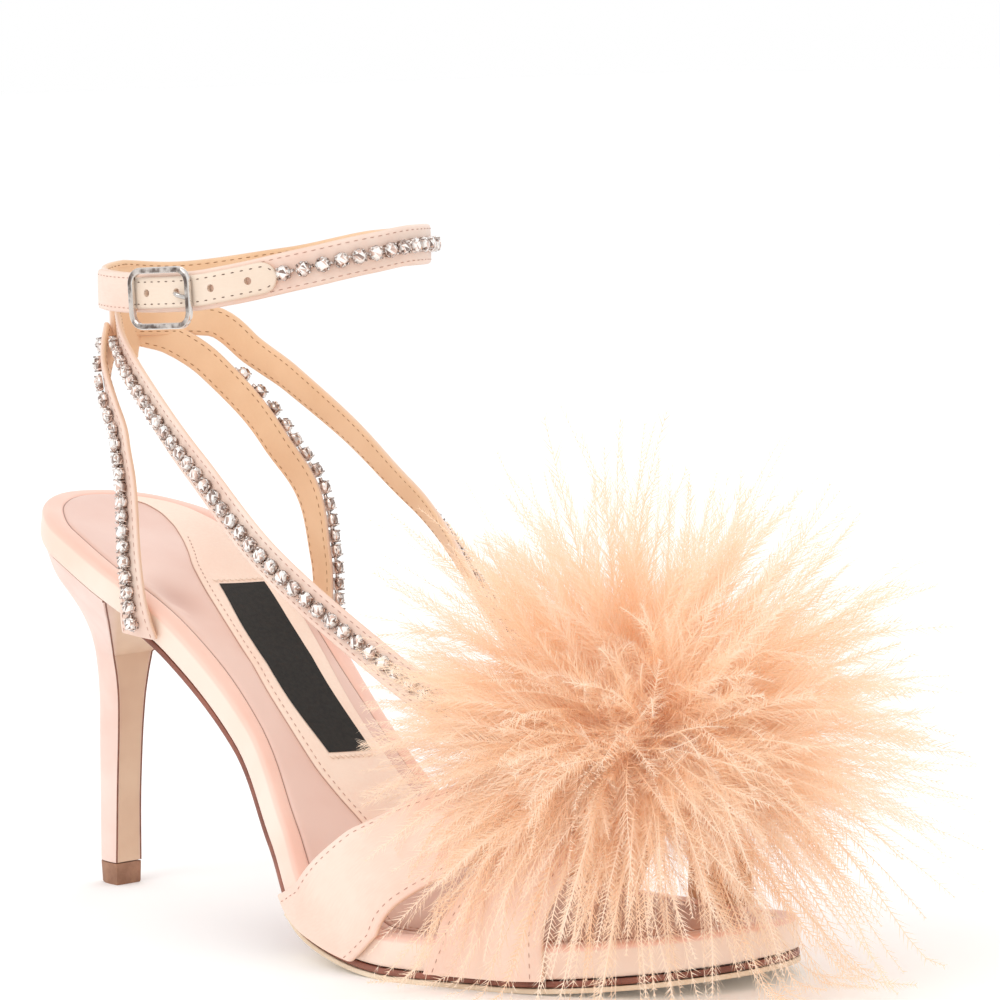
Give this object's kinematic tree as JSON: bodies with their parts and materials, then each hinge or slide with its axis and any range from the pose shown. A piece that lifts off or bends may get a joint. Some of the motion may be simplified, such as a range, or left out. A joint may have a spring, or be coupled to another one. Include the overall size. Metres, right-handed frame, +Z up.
{
  "type": "dress sandal",
  "caption": "Open high-heeled dress sandal: crossed vamp straps under a feather pompom, crystal-trimmed slings and a buckled ankle strap on a slender covered heel.",
  "frame": {"origin": "on the floor, under the middle of the heel's top piece", "axes": "+X toward the toe, +Z up, -Y toward the outer side of the foot, where the buckle is"},
  "size_m": [0.2513, 0.1187, 0.1612],
  "materials": {
    "blush_satin": "blush satin with a soft sheen",
    "sock_lining": "matt pink lining",
    "sole_edge_brown": "stained brown edge",
    "cream_outsole": "smooth cream sole",
    "top_piece_brown": "matt brown",
    "polished_steel": "polished",
    "crystal": "faceted clear stones in pale metal cups",
    "peach_feather": "soft peach feathers"
  },
  "bodies": {
    "root": {"footbed": "blush_satin", "insole_sock": "sock_lining", "sole_board": "sole_edge_brown", "outsole": "cream_outsole", "heel": "blush_satin", "heel_tip": "top_piece_brown", "upper_straps": "blush_satin", "ankle_tab": "blush_satin", "buckle_frame": "polished_steel", "buckle_prong": "polished_steel", "ankle_chain": "crystal", "outer_instep_chain": "crystal", "inner_instep_chain": "crystal", "outer_heel_chain": "crystal", "inner_heel_chain": "crystal", "pompom": "peach_feather"}
  },
  "joints": []
}
